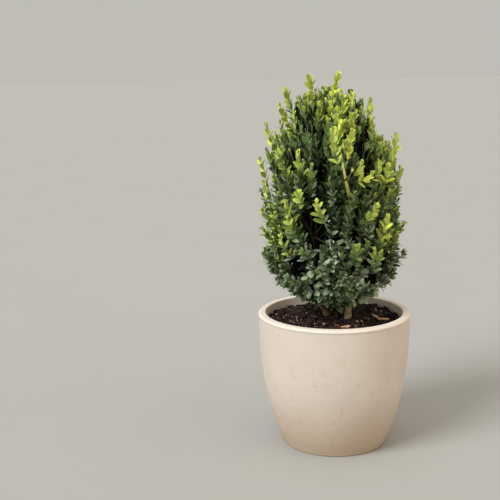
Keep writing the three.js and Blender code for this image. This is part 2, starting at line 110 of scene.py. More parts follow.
# Shoots that stand out: tip in millimetres, lean to the right, leafy length in millimetres, and brightness
LEADERS = np.array([
    # round the outline
    (10, -50, 970, 0.2, 140, 1), (-62, -30, 963, -0.2, 150, 0.85), (-121, -30, 932, -0.28, 140, 0.8),
    (-136, -20, 894, -0.5, 100, 0.9), (-88, -20, 914, -0.05, 110, 0.5), (-73, 10, 915, 0, 100, 0.45),
    (-35, -10, 912, 0, 120, 0.45), (45, -60, 920, 0.15, 110, 0.9), (68, -20, 880, 0.1, 100, 0.3),
    (90, -20, 902, 0.05, 140, 0.85), (100, -50, 840, 0.1, 100, 0.7), (112, -50, 798, 0.1, 100, 0.6),
    (138, -30, 799, 0.1, 100, 0.7), (157, -10, 814, 0.12, 120, 0.9), (-171, -20, 846, -0.3, 120, 0.75),
    (-148, -40, 828, -0.15, 110, 0.5), (-119, -60, 828, -0.1, 110, 0.5), (-171, -10, 780, -0.25, 110, 0.45),
    (-190, 0, 757, -0.38, 130, 0.6), (-180, -30, 700, -0.35, 110, 0.5), (-176, -40, 640, -0.3, 100, 0.6),
    (-184, 10, 622, -0.4, 100, 0.35), (-188, 0, 675, -0.5, 110, 0.3), (-186, 0, 576, -0.5, 90, 0.25),
    (-182, 0, 506, -0.7, 80, 0.2), (168, 0, 733, 0.12, 110, 0.6), (180, 0, 590, 0.5, 90, 0.7),
    (184, 0, 514, 0.65, 80, 0.2), (164, -20, 534, 0.3, 80, 0.3),
    # over and beside the golden stem
    (-7, -84, 900, 0.06, 120, 1), (25, -65, 912, 0.1, 120, 1), (42, -108, 870, 0.15, 110, 1),
    (54, -97, 879, 0.2, 100, 0.7), (-2, -140, 840, -0.12, 110, 1), (44, -138, 834, 0.2, 100, 1),
    (0, -160, 804, -0.1, 90, 1), (27, -158, 808, 0.15, 90, 1), (42, -172, 742, 0.45, 26, 1),
    (17, -131, 854, 0, 110, 1), (10, -102, 888, 0, 120, 1), (-14, -128, 860, -0.1, 100, 0.8),
    # in the front
    (65, -157, 759, 0.1, 36, 0.85), (90, -148, 734, 0.25, 40, 1), (-85, -155, 690, -0.05, 50, 0.9),
    (-87, -142, 784, -0.05, 70, 0.8), (-41, -174, 668, -0.15, 48, 1), (-118, -135, 663, -0.15, 90, 0.9),
    (-113, -142, 624, -0.2, 60, 0.9), (-134, -128, 576, -0.2, 60, 0.7), (56, -177, 560, 0.1, 70, 0.8),
    (98, -157, 550, -0.1, 60, 0.75), (115, -146, 540, 0.2, 70, 0.75), (102, -146, 656, 0.2, 50, 0.9),
    (130, -126, 625, 0.05, 80, 0.9), (36, -180, 655, 0.05, 120, 0.2), (48, -176, 690, 0.12, 60, 0.1),
    (-7, -180, 634, 0, 120, 0.1), (-52, -163, 756, 0, 100, 0.35), (-36, -79, 898, -0.05, 120, 0.8),
    (143, -80, 776, 0.08, 90, 0.9), (132, -105, 748, 0, 60, 0.9), (-99, -57, 875, -0.1, 110, 0.7),
    (-107, -119, 807, -0.1, 90, 0.5), (112, -126, 756, 0.1, 80, 0.7), (-63, -118, 853, -0.02, 100, 0.55),
    # at the back
    (4, 70, 905, 0, 130, 0.8), (-90, 64, 890, -0.15, 120, 0.8), (50, 98, 868, 0.15, 120, 0.8),
    (-20, 120, 865, 0, 110, 0.9), (105, 85, 800, 0.2, 110, 0.8), (-140, 70, 845, -0.25, 110, 0.8),
    (30, 150, 830, 0.1, 100, 0.9), (-80, 140, 800, -0.1, 100, 0.7), (90, 140, 770, 0.1, 90, 0.7),
    (-150, 90, 720, -0.2, 90, 0.7), (150, 90, 690, 0.2, 90, 0.7), (-30, 175, 700, 0, 90, 0.6),
    (60, 165, 600, 0.1, 80, 0.8), (-110, 140, 590, -0.1, 80, 0.6),
    # on the shoulders
    (86, -40, 880, 0.02, 110, 0.9), (-60, -50, 926, -0.08, 110, 0.8),
]) / [1000, 1000, 1000, 1, 1000, 1]
BRIGHT = 0.6  # leaders above this keep their leaves in the hollows
BRIGHTEST = 0.75  # leaders above this have larger leaves
SPREAD_TOP = 0.72  # below this height the leaves of bright leaders open wider

# Dark hollows in the crown's front, and open places before the golden stem: centre and radius in millimetres
HOLLOWS = np.array([
    (-50, -172, 584, 43), (-97, -137, 760, 30), (80, -147, 762, 26), (86, -152, 694, 28), (97, -150, 474, 36),
    (-90, -152, 496, 30), (54, -172, 573, 22), (-66, -130, 446, 18), (-60, -120, 835, 18), (-34, -135, 800, 16),
]) / 1000
WINDOWS = np.array([
    (15, -172, 797, 12), (20, -174, 779, 15), (25, -178, 757, 15), (30, -181, 733, 14), (34, -182, 707, 14),
]) / 1000
HOLLOW_DEPTH, WINDOW_DEPTH = 0.34, 0.45  # distances front to back count at these shares, so both reach far in
# Lighter and darker parts of the crown's front, the darker ones painted shade: x, height, half-width, half-height, and
# how much brighter
PATCHES = np.array([
    (0, 600, 80, 150, -0.65), (-56, 830, 55, 55, -0.8), (-130, 580, 55, 65, 0.36), (120, 560, 50, 60, 0.3),
]) / [1000, 1000, 1000, 1000, 1]

# Leaf outlines: shares of the length, and of the width there
LEAF = np.array([(0.10, 0.42), (0.30, 0.90), (0.55, 1.0), (0.80, 0.74), (0.94, 0.40)])
SHADE_LEAF = np.array([(0.28, 0.85), (0.72, 0.85)])
LEAF_RISE = 0.00028  # metres from the blade's middle surface to its midrib, above and below
PAIRS = 16  # the most pairs of leaves on one shoot
PAIR_STEP = 0.0084  # metres from pair to pair
# The greens that leaves are dealt, each with its roughness and gloss
GREENS = {
    "shade": (0.6, 0.15), "deep": (0.42, 0.42), "middle": (0.42, 0.45), "fresh": (0.45, 0.5),
    "lime": (0.5, 0.5), "gold": (0.5, 0.5), "sage": (0.5, 0.5),
}
SHADE, DEEP, FRESH, SAGE = map(list(GREENS).index, ("shade", "deep", "fresh", "sage"))


# Settings


def length_property(name, description, default, **limits):
    """A length in metres."""
    return FloatProperty(name=name, description=description, default=default, unit="LENGTH", **limits)


def colour_property(name, description, default):
    """A colour with its swatch."""
    return FloatVectorProperty(name=name, description=description, default=default, subtype="COLOR", size=3)


class PlanterSettings(bpy.types.PropertyGroup):
    """Sizes and colours of the planter."""

    height: length_property("Height", "Height of the planter", PLANTER_CORNER.z, min=0.2)
    rim_radius: length_property("Rim radius", "Outer radius at the lip", PLANTER_CORNER.x, min=0.1)
    foot_radius: length_property("Foot radius", "Outer radius at the ground", 0.138, min=0.05)
    wall: length_property("Wall", "Thickness of the wall at the lip", 0.02, min=0.005)
    bulge: FloatProperty(name="Bulge", description="Exponent of the side's curve", default=2.5, min=1.0)
    cream: colour_property("Cream", "Colour of the planter", (0.65, 0.550, 0.475))
    # The stain colour also paints the shade at the planter's foot.
    stain_and_shade: colour_property("Stain", "Colour of its darker clouds", (0.44, 0.320, 0.215))
    # Painted light: the lip and the inner wall are made paler than the side.
    pale: colour_property("Pale", "Colour of the lip and the inner wall", (0.90, 0.77, 0.65))


class SoilSettings(bpy.types.PropertyGroup):
    """Sizes and colours of the potting mix."""

    height: length_property("Height", "Height of the potting mix at the wall", 0.330)
    mound: length_property("Mound", "Rise of the middle", 0.008)
    crumbs: IntProperty(name="Crumbs", description="Number of bark crumbs", default=4200, min=10)
    dark: colour_property("Dark", "Colour of the moist mix", (0.005, 0.0022, 0.0016))
    bark: colour_property("Bark", "Colour of the bark crumbs", (0.095, 0.055, 0.041))
    wood: colour_property("Wood", "Colour of the pale wood chips", (0.42, 0.25, 0.14))


class CrownSettings(bpy.types.PropertyGroup):
    """Counts, sizes and colours of shoots and leaves."""

    branchlets: IntProperty(name="Branchlets", description="Number of woody twigs", default=190, min=10)
    shoots: IntProperty(name="Shoots", description="Number of leafy shoots at the outline", default=1240, min=50)
    inner_shoots: IntProperty(name="Inner shoots", description="Number of short shoots inside", default=320, min=0)
    leaf_length: length_property("Leaf length", "Length of a full leaf", 0.0218, min=0.005)
    leaf_slim: FloatProperty(name="Slim leaf", description="Width over length high in the crown", default=0.42)
    leaf_round: FloatProperty(name="Round leaf", description="Width over length low in the crown", default=0.60)
    # Painted shade: a near-black green for leaves deep inside the crown and on inner shoots.
    shade: colour_property("Shade green", "Leaves inside the crown", (0.003, 0.006, 0.0012))
    deep: colour_property("Deep green", "Old leaves", (0.026, 0.050, 0.012))
    middle: colour_property("Middle green", "Full-grown leaves", (0.070, 0.114, 0.027))
    fresh: colour_property("Fresh green", "This year's leaves", (0.162, 0.240, 0.058))
    # Painted light, in part: lime and gold are the young leaves' own yellow-green, made brighter to stand for light
    # shining through them.
    lime: colour_property("Lime", "Leaves at the shoots' tips", (0.368, 0.445, 0.072))
    gold: colour_property("Gold", "Leaves of the brightest shoots", (0.560, 0.630, 0.085))
    # Painted sheen, in part: sage is the grey-green of low leaves, made lighter to carry their grey sheen.
    sage: colour_property("Sage", "Grey-green leaves low in the crown", (0.290, 0.355, 0.215))
    twig: colour_property("Bark", "Colour of the stems' bark", (0.400, 0.285, 0.160))
    golden: colour_property("Golden stem", "Colour of the young golden stem", (0.60, 0.54, 0.14))
    shoot: colour_property("Young shoot", "Colour of the green shoots", (0.170, 0.220, 0.080))


class StageSettings(bpy.types.PropertyGroup):
    """Floor and light."""

    floor: colour_property("Floor", "Colour of the floor", (0.40, 0.385, 0.36))
    sky: FloatProperty(name="Sky", description="Strength of the even light from above", default=0.24, min=0.0)
    key: FloatProperty(name="Key", description="Strength of the soft light from the left", default=2.75, min=0.0)
    fill: FloatProperty(name="Fill", description="Strength of the warm light from the right", default=0.68, min=0.0)
    top: FloatProperty(name="Top", description="Strength of the broad light overhead", default=1.1, min=0.0)


# Numbers and curves


def chance(k, series):
    """Repeatable numbers from 0 to 1: what follows the point in 43758.5453 times the sine of an item and series sum."""
    x = np.sin(np.asarray(k, float) * 12.9898 + series * 78.233) * 43758.5453
    return x - np.floor(x)


def unit(v):
    """Vectors along the last axis, each divided by its length."""
    return v / np.maximum(np.linalg.norm(v, axis=-1, keepdims=True), 1e-12)


def outward(points):
    """Level directions from the axis to the points: x and y divided by their length."""
    return unit(points * [1, 1, 0])


def circle(count):
    """Cosines and sines of even turns."""
    turn = 2 * math.pi * np.arange(count) / count
    return np.cos(turn), np.sin(turn)


def crosswise(ways, guide, limit):
    """Two directions square to the ways and each other: cross products with up, or with x where the guide is steep."""
    helper = np.where(np.abs(guide[..., 2:]) < limit, UP, np.array([1.0, 0.0, 0.0]))
    side = unit(np.cross(ways, helper))
    return side, np.cross(ways, side)


def curves(controls, t):
    """Points and directions, at t (n, m), of smooth curves from their controls (n, c, 3).

    A point is the sum of the controls, each times its binomial weight: top over i, times t to the power of i, times
    1 - t to the power of top - i. A direction is the same sum over the steps from control to control.
    """
    t = t[..., None]

    def weighted(rows):
        top = rows.shape[1] - 1
        return sum(math.comb(top, i) * t**i * (1 - t) ** (top - i) * rows[:, None, i] for i in range(top + 1))

    steps = (controls.shape[1] - 1) * np.diff(controls, axis=1)
    return weighted(controls), unit(weighted(steps))


def traced(controls, count, start=0.0):
    """Even steps t from start to 1 on each curve, with the points and directions there."""
    t = np.tile(np.linspace(start, 1, count), (len(controls), 1))
    return t, *curves(controls, t)


def waves(points, size, seed, count=7):
    """Smooth noise about -1 to 1: the mean of sines of the place along random directions, size metres a swell."""
    k = np.arange(count)
    turn, rise = 2 * math.pi * chance(k, seed), 2 * chance(k, seed + 1) - 1
    flat = np.sqrt(1 - rise**2)
    ways = np.stack([flat * np.cos(turn), flat * np.sin(turn), rise]) * (2 * math.pi / size)
    ways = ways * (0.7 + 0.9 * chance(k, seed + 2))
    return np.sin(points @ ways + 6.28 * chance(k, seed + 3)).mean(axis=-1) * 2


# Meshes


def mesh_piece(name, points, faces, finish, smooth=True, sharp=None, **attributes):
    """A piece from its points, its faces with one row of corners each, and one number a point per attribute."""
    mesh = bpy.data.meshes.new(name)
    mesh.vertices.add(len(points))
    mesh.vertices.foreach_set("co", np.ascontiguousarray(points, np.float32).ravel())
    mesh.loops.add(faces.size)
    mesh.loops.foreach_set("vertex_index", np.ascontiguousarray(faces, np.int32).ravel())
    mesh.polygons.add(len(faces))
    mesh.polygons.foreach_set("loop_start", np.arange(0, faces.size, faces.shape[1], dtype=np.int32))
    mesh.update(calc_edges=True)
    mesh.polygons.foreach_set("use_smooth", np.full(len(faces), smooth))
    if sharp:
        mesh.set_sharp_from_angle(angle=math.radians(sharp))
    for key, values in attributes.items():
        layer = mesh.attributes.new(key, "FLOAT", "POINT")
        layer.data.foreach_set("value", np.ascontiguousarray(values, np.float32).ravel())
    mesh.materials.append(finish)
    piece = bpy.data.objects.new(name, mesh)
    bpy.context.scene.collection.objects.link(piece)
    return piece


def on_root(piece, slot, *nodes):
    """The piece rides on the plant and stands for the nodes, which are hidden. The slot is not used."""
    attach(piece, "root")
    if nodes:
        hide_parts(*nodes)


def ring_faces(rings, sides):
    """Triangles of a closed form: a fan at its first point, bands from ring to ring of corners, a fan at its last."""
    k = np.arange(sides)
    after = (k + 1) % sides
    rows = 1 + sides * np.arange(rings - 1)[:, None]
    a, b, c, d = rows + k, rows + after, rows + sides + after, rows + sides + k
    bands = [np.stack(corners, -1).reshape(-1, 3) for corners in ((a, b, c), (a, c, d))]
    last = 1 + sides * (rings - 1)
    foot = np.stack([0 * k, 1 + after, 1 + k], -1)
    top = np.stack([last + sides + 0 * k, last + k, last + after], -1)
    return np.concatenate([foot, *bands, top])


def repeated(faces, size, count):
    """The faces of one form of size points, for count such forms in a row."""
    return (faces + size * np.arange(count)[:, None, None]).reshape(-1, faces.shape[1])


def capped(rings, foot, top):
    """A closed form from rings of points (m, sides, 3) and the heights at which its ends meet the axis."""
    points = np.concatenate([[(0, 0, foot)], rings.reshape(-1, 3), [(0, 0, top)]])
    return points, ring_faces(*rings.shape[:2])


def lathe(profile, segments):
    """A turned surface: the profile (radius, height) carried round the axis; it starts and ends on the axis."""
    cos, sin = circle(segments)
    radius, height = profile[1:-1, :1], profile[1:-1, 1:]
    rings = np.stack([radius * cos, radius * sin, height + 0 * cos], -1)
    return capped(rings, profile[0, 1], profile[-1, 1])


def tubes(centres, radii, sides):
    """Closed tubes: round each centre (n, m, 3) a ring at the radius (n, m) or (n, m, sides), and fans at both ends."""
    n, m = centres.shape[:2]
    along = unit(np.gradient(centres, axis=1))
    spine = unit(centres[:, -1] - centres[:, 0])
    side, other = crosswise(along, spine[:, None], 0.9)
    reach = np.broadcast_to(radii[..., None] if radii.ndim == 2 else radii, (n, m, sides))[..., None]
    cos, sin = circle(sides)
    ring = cos[:, None] * side[:, :, None] + sin[:, None] * other[:, :, None]
    rings = centres[:, :, None] + reach * ring
    points = np.concatenate([centres[:, :1], rings.reshape(n, m * sides, 3), centres[:, -1:]], axis=1)
    return points.reshape(-1, 3), repeated(ring_faces(m, sides), points.shape[1], n)


def barked(centres, radius, sides, size):
    """Radii (n, m, sides) of a tube with bark: the radius times one plus long ridges and short lumps, smooth noise."""
    cos, sin = circle(sides)
    where = np.stack([cos, sin, 0 * cos], -1) * size + centres[:, :, None] * [1, 1, 0.35]
    relief = 1 + 0.10 * waves(where, size, 91, 9) + 0.05 * waves(where * [1, 1, 3], 0.4 * size, 95, 9)
    return radius[..., None] * relief


# Finishes


class Nodes:
    """A node tree, and short ways to add to it."""

    def __init__(self, tree):
        self.tree = tree

    def add(self, kind, settings=None, **inputs):
        """A node of the kind, with its settings, and a value or a link for each input that is named."""
        node = self.tree.nodes.new("ShaderNode" + kind)
        for key, value in (settings or {}).items():
            setattr(node, key, value)
        for key, value in inputs.items():
            self.put(node.inputs[key.replace("_", " ")], value)
        return node

    def put(self, socket, value):
        """Links the socket to the value's output, or gives it the value."""
        if isinstance(value, bpy.types.NodeSocket):
            self.tree.links.new(value, socket)
        else:
            socket.default_value = value

    def own(self, attribute):
        """A number that the mesh carries at each point."""
        return self.add("Attribute", {"attribute_name": attribute}).outputs["Fac"]

    def place(self, scale=(1, 1, 1)):
        """Object coordinates, stretched."""
        where = self.add("TexCoord").outputs["Object"]
        return self.add("Mapping", Vector=where, Scale=scale).outputs["Vector"]

    def noise(self, scale, detail=4.0, rough=0.6, where=None):
        """Smooth noise from 0 to 1, about scale swells a metre."""
        node = self.add("TexNoise", Vector=where or self.place(), Scale=scale, Detail=detail, Roughness=rough)
        return node.outputs["Fac"]

    def ramp(self, value, *stops):
        """A share read off straight lines between stops, each one (value, share)."""
        node = self.add("ValToRGB", Fac=value)
        elements = node.color_ramp.elements
        while len(elements) < len(stops):
            elements.new(0.5)
        for element, (where, grey) in zip(elements, stops):
            element.position = where
            element.color = (grey, grey, grey, 1)
        return node.outputs["Color"]

    def fade(self, value, start, end, first, last):
        """Goes evenly from first to last while the value goes from start to end."""
        node = self.add("MapRange", Value=value, From_Min=start, From_Max=end, To_Min=first, To_Max=last)
        return node.outputs["Result"]

    def times(self, first, second):
        """The product of two shares."""
        node = self.add("Math", {"operation": "MULTIPLY"})
        for socket, value in zip(node.inputs, (first, second)):
            self.put(socket, value)
        return node.outputs["Value"]

    def mix(self, amount, first, second):
        """Colours first and second, mixed by the amount."""
        node = self.add("Mix", {"data_type": "RGBA"})
        colours = [s for s in node.inputs if s.type == "RGBA"]
        self.put(node.inputs[0], amount)
        for socket, colour in zip(colours, (first, second)):
            self.put(socket, colour if isinstance(colour, bpy.types.NodeSocket) else (*colour, 1))
        return next(s for s in node.outputs if s.type == "RGBA")


class Finish(Nodes):
    """A material and its shader, with values for the shader's sockets."""

    def __init__(self, name, **sockets):
        self.material = bpy.data.materials.new(name)
        self.material.use_nodes = True
        super().__init__(self.material.node_tree)
        self.shader = next(n for n in self.tree.nodes if n.type == "BSDF_PRINCIPLED")
        for socket, value in sockets.items():
            self.shader.inputs[socket.replace("_", " ")].default_value = value

    def bump(self, height, strength, distance):
        """Shades the surface as if the height raised it, by the distance at most."""
        node = self.add("Bump", Height=height, Strength=strength, Distance=distance)
        self.put(self.shader.inputs["Normal"], node.outputs["Normal"])

    def colour(self, value):
        """Gives the material its colour."""
        self.put(self.shader.inputs["Base Color"], value)


def scaled(colour, factor):
    """A colour made lighter or darker by a factor."""
    return tuple(min(1.0, c * factor) for c in colour)


def planter_finish(planter):
    """Matte cream cast stone: broad soft clouds, fine grain, scuffs, painted shade that darkens the foot, painted light
    that makes the lip and the inner wall pale, and small pits.
    """
    f = Finish("planter_cream", Roughness=0.72, Specular_IOR_Level=0.35)
    clouds = f.ramp(f.noise(9, 5, 0.62), (0.42, 0), (0.68, 1))
    grain = f.ramp(f.noise(260, 3, 0.6), (0.4, 0), (0.62, 0.5))
    base = f.mix(clouds, planter.cream, scaled(planter.cream, 0.9))
    base = f.mix(grain, base, scaled(planter.cream, 1.06))
    height = f.add("SeparateXYZ", Vector=f.place()).outputs["Z"]
    scuffs = f.ramp(f.noise(44, 6, 0.7, f.place((1, 1, 0.7))), (0.56, 0), (0.68, 0.6))
    base = f.mix(f.times(f.fade(height, 0.0, 0.30, 1.0, 0.25), scuffs), base, planter.stain_and_shade)
    # Painted shade: darker towards the foot, in the stain colour.
    base = f.mix(f.fade(height, 0.010, 0.18, 0.85, 0.0), base, planter.stain_and_shade)
    # Painted light: the lip and the inner wall, where the mesh asks for it, are paler.
    f.colour(f.mix(f.own("pale"), base, planter.pale))
    pits = f.add("TexVoronoi", {"feature": "F1"}, Vector=f.place(), Scale=170.0).outputs["Distance"]
    f.bump(f.ramp(pits, (0.05, 0), (0.2, 1)), 0.25, 0.0006)
    return f.material


def soil_finish(soil):
    """Moist potting mix: nearly black, with browner crumbs."""
    f = Finish("potting_mix", Roughness=0.9, Specular_IOR_Level=0.08)
    crumbs = f.ramp(f.noise(130, 6, 0.7), (0.45, 0), (0.62, 1))
    f.colour(f.mix(crumbs, soil.dark, soil.bark))
    f.bump(f.noise(240, 6, 0.7), 0.6, 0.002)
    return f.material


def crumb_finish(name, colour, best):
    """Bark or wood crumbs: a streaky colour that differs from crumb to crumb, up to best times the given one."""
    f = Finish(name, Roughness=0.75, Specular_IOR_Level=0.12)
    tone = f.ramp(f.own("shade"), (0.0, 0), (0.60, 0.05), (0.82, 0.2), (0.93, 1))
    base = f.mix(tone, scaled(colour, 0.07), scaled(colour, best))
    streaks = f.ramp(f.noise(300, 4, 0.6), (0.45, 0), (0.65, 0.7))
    f.colour(f.mix(streaks, base, scaled(colour, 0.1)))
    f.bump(f.noise(420, 4, 0.6), 0.5, 0.001)
    return f.material


def bark_finish(name, bark):
    """Bark with long dark furrows and paler ridges, and a darker, redder bark as painted shade where the mesh asks for
    it.
    """
    f = Finish(name, Roughness=0.8, Specular_IOR_Level=0.25)
    furrows = f.ramp(f.noise(160, 5, 0.65, f.place((1, 1, 0.22))), (0.38, 0), (0.6, 1))
    patches = f.ramp(f.noise(60, 3, 0.5), (0.4, 0), (0.65, 1))
    base = f.mix(furrows, scaled(bark, 0.35), bark)
    base = f.mix(patches, base, scaled(bark, 1.25))
    # Painted shade: a darker, redder bark where the mesh asks for it.
    f.colour(f.mix(f.own("old"), base, scaled((bark[0], bark[1] * 0.75, bark[2] * 0.7), 0.35)))
    f.bump(furrows, 0.6, 0.0008)
    return f.material


def shoot_finish(crown):
    """Young shoots: green-gold towards the tip, and towards the foot a near-black grey-brown, partly the wood's own
    colour and partly painted shade.
    """
    f = Finish("young_shoots", Roughness=0.6)
    age = f.ramp(f.own("tip"), (0.4, 0), (0.75, 1))
    flecks = f.ramp(f.noise(90, 3, 0.5), (0.4, 0), (0.65, 1))
    # Painted shade, in part: towards its foot a shoot is nearly black, as dark as the crown's inside.
    old = f.mix(flecks, scaled(crown.twig, 0.02), scaled(crown.twig, 0.06))
    f.colour(f.mix(age, old, crown.shoot))
    return f.material


def golden_finish(crown):
    """The smooth golden bark of one young stem, darker at its joints."""
    f = Finish("golden_bark", Roughness=0.6)
    joints = f.ramp(f.noise(130, 4, 0.6, f.place((0.4, 0.4, 1))), (0.4, 0), (0.6, 1))
    f.colour(f.mix(joints, scaled(crown.golden, 0.6), crown.golden))
    return f.material


def leaf_finish(name, colour, rough, gloss):
    """Leathery leaves: each has its own shade, a paler midrib and underside, and faint mottling."""
    f = Finish(name, Roughness=rough, Specular_IOR_Level=gloss)
    base = f.mix(f.own("shade"), scaled(colour, 0.5), scaled(colour, 1.5))
    mottled = f.mix(f.ramp(f.noise(120, 3, 0.5), (0.35, 0), (0.7, 0.5)), base, scaled(colour, 0.7))
    pale = tuple(0.6 * c + 0.4 * p for c, p in zip(colour, (0.16, 0.2, 0.07)))
    ribbed = f.mix(f.ramp(f.own("rib"), (0.8, 0), (1.0, 0.6)), mottled, scaled(pale, 1.4))
    f.colour(f.mix(f.own("under"), ribbed, pale))
    return f.material


# Planter and potting mix


def side_radius(z, planter):
    """The side's radius: the rim's less the lip's step, less the taper times 1 - height share to the power bulge."""
    taper = planter.rim_radius - planter.foot_radius
    return planter.rim_radius - LIP_STEP - taper * (1 - z / planter.height) ** planter.bulge


def arc(r, z, radius, start, end, steps):
    """Points of an arc round (r, z), angles in degrees."""
    angle = np.radians(np.linspace(start, end, steps))
    return np.stack([r + radius * np.cos(angle), z + radius * np.sin(angle)], -1)


def planter_profile(planter):
    """The planter's outline: from its underside's middle, up the side, over the lip and down inside to its floor."""
    rim, top, wall = planter.rim_radius, planter.height, planter.wall
    foot_round, lip_round, edge_round = 0.006, 0.007, 0.004
    outer = np.linspace(0.012, top - 0.0125, 60)
    shoulder = np.linspace(top - 0.0105, top - 0.0080, 5)
    step = np.array([0.0, 0.15, 0.5, 0.85, 1.0]) * LIP_STEP
    inner = np.linspace(top - 0.006, FLOOR_THICKNESS, 40)
    corner = side_radius(foot_round, planter) - foot_round
    return np.concatenate([
        [(0, 0), (corner * 0.5, 0)],
        arc(corner, foot_round, foot_round, -90, -8, 7),
        np.stack([side_radius(outer, planter), outer], -1),
        np.stack([side_radius(shoulder, planter) + step, shoulder], -1),
        arc(rim - lip_round, top - lip_round, lip_round, 0, 90, 12),
        arc(rim - wall + edge_round, top - edge_round, edge_round, 90, 180, 7),
        np.stack([side_radius(inner, planter) - wall + LIP_STEP, inner], -1),
        [(0.06, FLOOR_THICKNESS), (0, FLOOR_THICKNESS)],
    ])


def soil_radius(soil, planter):
    """The wall's inner radius at the mix's height."""
    return side_radius(soil.height, planter) - planter.wall


def soil_height(x, y, soil, planter):
    """Height of the mix: the wall height, plus a smooth mound, plus lumps of three sizes."""
    share = np.clip((np.hypot(x, y) - MOUND_TOP) / (soil_radius(soil, planter) - MOUND_TOP), 0, 1)
    mound = soil.mound * (1 - share * share * (3 - 2 * share))
    spot = np.stack([x, y, 0 * x], -1)
    lumps = 0.0026 * waves(spot, 0.05, 31) + 0.0030 * waves(spot, 0.018, 35, 11) + 0.0016 * waves(spot, 0.007, 39, 13)
    return soil.height + mound + lumps - 0.002


def soil_bed(soil, planter):
    """A plug: rings of points from the middle to the wall at the mix's height, then straight down and to the axis."""
    segments, rings = 220, 70
    edge = soil_radius(soil, planter) + 0.0006
    radius = edge * np.linspace(0, 1, rings + 1)[1:, None]
    x, y = (radius * share for share in circle(segments))
    body = np.stack([x, y, soil_height(x, y, soil, planter)], -1)[::-1]
    low = body[0] * [0.998, 0.998, 0] + [0, 0, soil.height - SOIL_DEPTH]
    middle = soil_height(np.zeros(1), np.zeros(1), soil, planter)[0]
    return capped(np.concatenate([low[None], body]), soil.height - SOIL_DEPTH, middle)


def strewn(k, reach):
    """Places (x, y) at the reaches from the axis, each a golden angle on from the last."""
    return np.stack([reach * np.cos(k * GOLDEN_ANGLE), reach * np.sin(k * GOLDEN_ANGLE)], -1)


def chunks(spot, z, sizes, turns, tilts, seed):
    """Angular chips: boxes of eight corners, each pushed about at random, then scaled, tilted, turned and placed."""
    n = len(spot)
    corner = np.array([[x, y, z] for z in (-1, 1) for y in (-1, 1) for x in (-1, 1)], float) / 2
    item = np.arange(n)[:, None] * 8 + np.arange(8)
    wobble = np.stack([chance(item, seed + i) - 0.5 for i in range(3)], -1) * 0.45
    a, b, c = np.moveaxis((corner + wobble) * sizes[:, None], -1, 0)
    cos, sin = np.cos(tilts)[:, None], np.sin(tilts)[:, None]
    a, c = a * cos + c * sin, c * cos - a * sin
    cos, sin = np.cos(turns)[:, None], np.sin(turns)[:, None]
    a, b = a * cos - b * sin, a * sin + b * cos
    points = np.stack([a, b, c], -1) + np.column_stack([spot, z])[:, None]
    quads = np.array([(0, 2, 3, 1), (4, 5, 7, 6), (0, 1, 5, 4), (1, 3, 7, 5), (3, 2, 6, 7), (2, 0, 4, 6)])
    return points.reshape(-1, 3), repeated(quads, 8, n)


def bark_crumbs(soil, planter):
    """Bark crumbs strewn evenly over the mix, few of them long, and each one's shade, lighter to the left."""
    k = np.arange(soil.crumbs, dtype=float)
    spot = strewn(k, (soil_radius(soil, planter) - 0.004) * np.sqrt(chance(k, 61)))
    long = 0.0024 + 0.012 * chance(k, 62) ** 3 + 0.003 * chance(k, 63)
    sizes = np.stack([long, long * (0.35 + 0.4 * chance(k, 64)), long * (0.25 + 0.3 * chance(k, 65))], -1)
    z = soil_height(*spot.T, soil, planter) + 0.4 * sizes[:, 2]
    points, faces = chunks(spot, z, sizes, 6.28 * chance(k, 66), 1.6 * (chance(k, 67) - 0.5), 68)
    shade = chance(k, 72) * np.clip(1.6 - long / 0.013, 0.5, 1)
    return points, faces, shade + np.interp(spot[:, 0], [-0.12, -0.04], [0.16, 0])


def wood_chips(soil, planter):
    """Flat wood chips strewn over the mix, the first ones at places of their own, and each one's shade."""
    k = np.arange(CHIPS, dtype=float) + CHIP_KEYS
    proud = np.arange(CHIPS) < PROUD_CHIPS
    spot = strewn(k, 0.05 + 0.115 * np.sqrt(chance(k, 81)))
    spot[:5] = [(0.108, -0.010), (0.130, -0.034), (0.012, -0.092), (0.030, -0.104), (0.046, -0.088)]
    long = 0.010 + 0.012 * chance(k, 82)
    long[:PROUD_CHIPS] = (0.016, 0.024)
    turns = math.pi * chance(k, 83)
    turns[:PROUD_CHIPS] = (2.2, 0.10)
    sizes = np.stack([long, long * 0.36, 0.0035 + 0 * long], -1)
    z = soil_height(*spot.T, soil, planter) + np.where(proud, 0.009, 0.0035)
    points, faces = chunks(spot, z, sizes, turns, 0.25 * (chance(k, 84) - 0.5), 85)
    return points, faces, np.where(proud, 1.0, 0.75 + 0.2 * chance(k, 89))


# Growth


def crown_radius(z):
    """Half-width of the crown at a height, by straight lines between the outline's points."""
    return np.interp(z, CROWN[:, 0], CROWN[:, 1], left=0, right=0)


def crown_points(z, azimuth, inset):
    """Points under the crown's outline, which has shallow lobes: two sines of the azimuth and height."""
    lobes = 1 + 0.035 * np.sin(3 * azimuth + z / 0.09) + 0.025 * np.sin(5 * azimuth - z / 0.06)
    radius = np.maximum(crown_radius(z) * lobes - inset, 0.004)
    return np.stack([radius * np.cos(azimuth), radius * np.sin(azimuth), z], -1)


def crown_depth(points):
    """How far points lie inside the crown's outline, measured level from the axis."""
    return crown_radius(points[:, 2]) - np.hypot(points[:, 0], points[:, 1])


def even_heights(count):
    """Heights that share out the crown's surface evenly: equal steps of the area summed from the foot up."""
    step = 0.001
    z = np.arange(CROWN[0, 0] + step, CROWN[-1, 0], step)
    slope = (crown_radius(z + step) - crown_radius(z)) / step
    area = np.cumsum(crown_radius(z) * np.hypot(1, slope))
    return np.interp(area[-1] * (np.arange(count) + 0.5) / count, area, z)


def stem_controls():
    """Four controls a stem: foot, a third up, a third down from the top, and top."""
    foot, top = (np.array([stem[i] for stem in STEMS.values()]) for i in (0, 1))
    third = (top - foot)[:, 2:] / 3 * UP
    return np.stack([foot, foot + third, top - third, top], axis=1)


